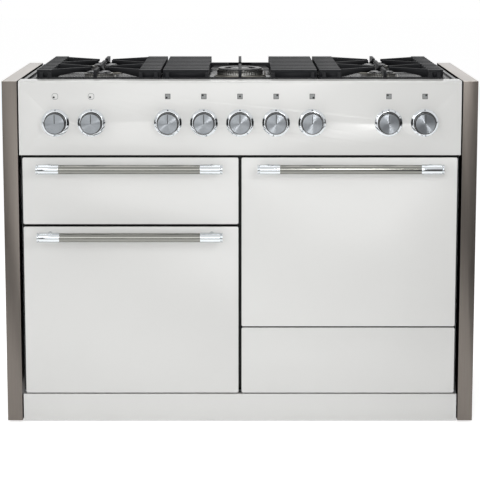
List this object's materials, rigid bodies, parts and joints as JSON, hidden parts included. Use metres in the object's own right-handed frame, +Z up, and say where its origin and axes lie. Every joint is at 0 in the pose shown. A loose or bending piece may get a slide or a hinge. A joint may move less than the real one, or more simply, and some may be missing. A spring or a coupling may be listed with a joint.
{
  "type": "dual fuel range cooker",
  "caption": "Wide free-standing range cooker: gas hob with cast iron pan supports over drop-down ovens, a glide-out grill and a storage drawer.",
  "frame": {"origin": "on the floor, in the middle of the overall width and of the overall depth with the handles", "axes": "+X to the user's right, +Y from the front to the back, +Z up"},
  "size_m": [1.2, 0.6626, 0.906],
  "materials": {
    "stainless_steel": "brushed",
    "white_enamel": "gloss vitreous enamel",
    "black_enamel": "gloss vitreous enamel",
    "grey_oven_enamel": "satin vitreous enamel",
    "galvanised_steel": "satin zinc",
    "cast_iron": "matt enamel",
    "burner_aluminium": "satin cast",
    "chrome": "polished",
    "knob_aluminium": "spun",
    "heating_element_sheath": "oxidised",
    "seal_fibre": "woven",
    "brass": "as machined",
    "switch_plastic": "moulded",
    "roller_plastic": "moulded"
  },
  "bodies": {
    "cooker_body": {"back_panel": "galvanised_steel", "burner_bowls": "burner_aluminium", "burner_caps": "black_enamel", "burner_heads": "burner_aluminium", "chassis": "galvanised_steel", "control_panel": "white_enamel", "door_seals": "seal_fibre", "fan_covers": "grey_oven_enamel", "fan_motors": "galvanised_steel", "front_feet": "galvanised_steel", "front_frame": "black_enamel", "gas_manifold": "brass", "gas_taps": "brass", "grill_chamber": "grey_oven_enamel", "heating_elements": "heating_element_sheath", "hob_tray": "black_enamel", "knob_bezels": "chrome", "left_oven_liner": "grey_oven_enamel", "oven_hinge_arms": "galvanised_steel", "oven_shelves": "chrome", "oven_switches": "switch_plastic", "plinth": "white_enamel", "right_oven_liner": "grey_oven_enamel", "shelf_racks": "chrome", "side_panel_left": "stainless_steel", "side_panel_right": "stainless_steel", "slide_runners": "galvanised_steel", "terminal_box": "switch_plastic"},
    "rear_roller_left": {"rear_roller_left": "roller_plastic"},
    "rear_roller_right": {"rear_roller_right": "roller_plastic"},
    "left_oven_fan": {"left_oven_fan": "galvanised_steel"},
    "right_oven_fan": {"right_oven_fan": "galvanised_steel"},
    "left_pan_support": {"pan_support_left": "cast_iron"},
    "centre_pan_support": {"pan_support_centre": "cast_iron"},
    "right_pan_support": {"pan_support_right": "cast_iron"},
    "left_oven_door": {"left_oven_door_panel": "white_enamel", "left_oven_door_liner": "grey_oven_enamel", "left_oven_handle": "stainless_steel"},
    "right_oven_door": {"right_oven_door_panel": "white_enamel", "right_oven_door_liner": "grey_oven_enamel", "right_oven_handle": "stainless_steel"},
    "grill_slide": {"grill_front": "white_enamel", "grill_handle": "stainless_steel", "grill_pan": "grey_oven_enamel"},
    "storage_drawer": {"drawer_front": "white_enamel", "drawer_box": "galvanised_steel"},
    "tap_spindle_3": {"tap_spindle_3": "brass"},
    "gas_knob_3": {"gas_knob_3": "knob_aluminium"},
    "tap_spindle_4": {"tap_spindle_4": "brass"},
    "gas_knob_4": {"gas_knob_4": "knob_aluminium"},
    "tap_spindle_5": {"tap_spindle_5": "brass"},
    "gas_knob_5": {"gas_knob_5": "knob_aluminium"},
    "tap_spindle_6": {"tap_spindle_6": "brass"},
    "gas_knob_6": {"gas_knob_6": "knob_aluminium"},
    "tap_spindle_7": {"tap_spindle_7": "brass"},
    "gas_knob_7": {"gas_knob_7": "knob_aluminium"},
    "oven_knob_1": {"oven_knob_1": "knob_aluminium"},
    "oven_knob_2": {"oven_knob_2": "knob_aluminium"},
    "oven_knob_8": {"oven_knob_8": "knob_aluminium"},
    "oven_knob_9": {"oven_knob_9": "knob_aluminium"}
  },
  "joints": [
    {"name": "left_oven_door_drop", "type": "hinge", "parent": "cooker_body", "child": "left_oven_door", "pos_m": [-0.2775, -0.2607, 0.09], "axis": [1, 0, 0], "range_deg": [0, 90]},
    {"name": "right_oven_door_drop", "type": "hinge", "parent": "cooker_body", "child": "right_oven_door", "pos_m": [0.2775, -0.2607, 0.265], "axis": [1, 0, 0], "range_deg": [0, 90]},
    {"name": "grill_glide_out", "type": "slide", "parent": "cooker_body", "child": "grill_slide", "axis": [0, -1, 0], "range_m": [0, 0.3]},
    {"name": "drawer_slide_out", "type": "slide", "parent": "cooker_body", "child": "storage_drawer", "axis": [0, -1, 0], "range_m": [0, 0.36]},
    {"name": "lift_pan_support_left", "type": "slide", "parent": "cooker_body", "child": "left_pan_support", "axis": [0, 0, 1], "range_m": [0, 0.12]},
    {"name": "lift_pan_support_centre", "type": "slide", "parent": "cooker_body", "child": "centre_pan_support", "axis": [0, 0, 1], "range_m": [0, 0.12]},
    {"name": "lift_pan_support_right", "type": "slide", "parent": "cooker_body", "child": "right_pan_support", "axis": [0, 0, 1], "range_m": [0, 0.12]},
    {"name": "oven_knob_turn_1", "type": "hinge", "parent": "cooker_body", "child": "oven_knob_1", "pos_m": [-0.466, -0.2687, 0.778], "axis": [0, 1, 0], "range_deg": [0, 300]},
    {"name": "oven_knob_turn_2", "type": "hinge", "parent": "cooker_body", "child": "oven_knob_2", "pos_m": [-0.375, -0.2687, 0.778], "axis": [0, 1, 0], "range_deg": [0, 300]},
    {"name": "oven_knob_turn_8", "type": "hinge", "parent": "cooker_body", "child": "oven_knob_8", "pos_m": [0.375, -0.2687, 0.778], "axis": [0, 1, 0], "range_deg": [0, 300]},
    {"name": "oven_knob_turn_9", "type": "hinge", "parent": "cooker_body", "child": "oven_knob_9", "pos_m": [0.466, -0.2687, 0.778], "axis": [0, 1, 0], "range_deg": [0, 300]},
    {"name": "tap_knob_turn_3", "type": "hinge", "parent": "tap_spindle_3", "child": "gas_knob_3", "pos_m": [-0.182, -0.2687, 0.778], "axis": [0, -1, 0], "range_deg": [0, 270]},
    {"name": "tap_push_3", "type": "slide", "parent": "cooker_body", "child": "tap_spindle_3", "axis": [0, 1, 0], "range_m": [0, 0.003], "stiffness_N_per_m": 800, "springref_m": -0.002},
    {"name": "tap_knob_turn_4", "type": "hinge", "parent": "tap_spindle_4", "child": "gas_knob_4", "pos_m": [-0.091, -0.2687, 0.778], "axis": [0, -1, 0], "range_deg": [0, 270]},
    {"name": "tap_push_4", "type": "slide", "parent": "cooker_body", "child": "tap_spindle_4", "axis": [0, 1, 0], "range_m": [0, 0.003], "stiffness_N_per_m": 800, "springref_m": -0.002},
    {"name": "tap_knob_turn_5", "type": "hinge", "parent": "tap_spindle_5", "child": "gas_knob_5", "pos_m": [0, -0.2687, 0.778], "axis": [0, -1, 0], "range_deg": [0, 270]},
    {"name": "tap_push_5", "type": "slide", "parent": "cooker_body", "child": "tap_spindle_5", "axis": [0, 1, 0], "range_m": [0, 0.003], "stiffness_N_per_m": 800, "springref_m": -0.002},
    {"name": "tap_knob_turn_6", "type": "hinge", "parent": "tap_spindle_6", "child": "gas_knob_6", "pos_m": [0.091, -0.2687, 0.778], "axis": [0, -1, 0], "range_deg": [0, 270]},
    {"name": "tap_push_6", "type": "slide", "parent": "cooker_body", "child": "tap_spindle_6", "axis": [0, 1, 0], "range_m": [0, 0.003], "stiffness_N_per_m": 800, "springref_m": -0.002},
    {"name": "tap_knob_turn_7", "type": "hinge", "parent": "tap_spindle_7", "child": "gas_knob_7", "pos_m": [0.182, -0.2687, 0.778], "axis": [0, -1, 0], "range_deg": [0, 270]},
    {"name": "tap_push_7", "type": "slide", "parent": "cooker_body", "child": "tap_spindle_7", "axis": [0, 1, 0], "range_m": [0, 0.003], "stiffness_N_per_m": 800, "springref_m": -0.002},
    {"name": "rear_roller_left_spin", "type": "hinge", "parent": "cooker_body", "child": "rear_roller_left", "pos_m": [-0.47, 0.3095, 0.02], "axis": [1, 0, 0], "continuous": true},
    {"name": "rear_roller_right_spin", "type": "hinge", "parent": "cooker_body", "child": "rear_roller_right", "pos_m": [0.47, 0.3095, 0.02], "axis": [1, 0, 0], "continuous": true},
    {"name": "left_oven_fan_spin", "type": "hinge", "parent": "cooker_body", "child": "left_oven_fan", "pos_m": [-0.2775, 0.2053, 0.3055], "axis": [0, 1, 0], "continuous": true},
    {"name": "right_oven_fan_spin", "type": "hinge", "parent": "cooker_body", "child": "right_oven_fan", "pos_m": [0.2775, 0.2053, 0.48175], "axis": [0, 1, 0], "continuous": true}
  ]
}
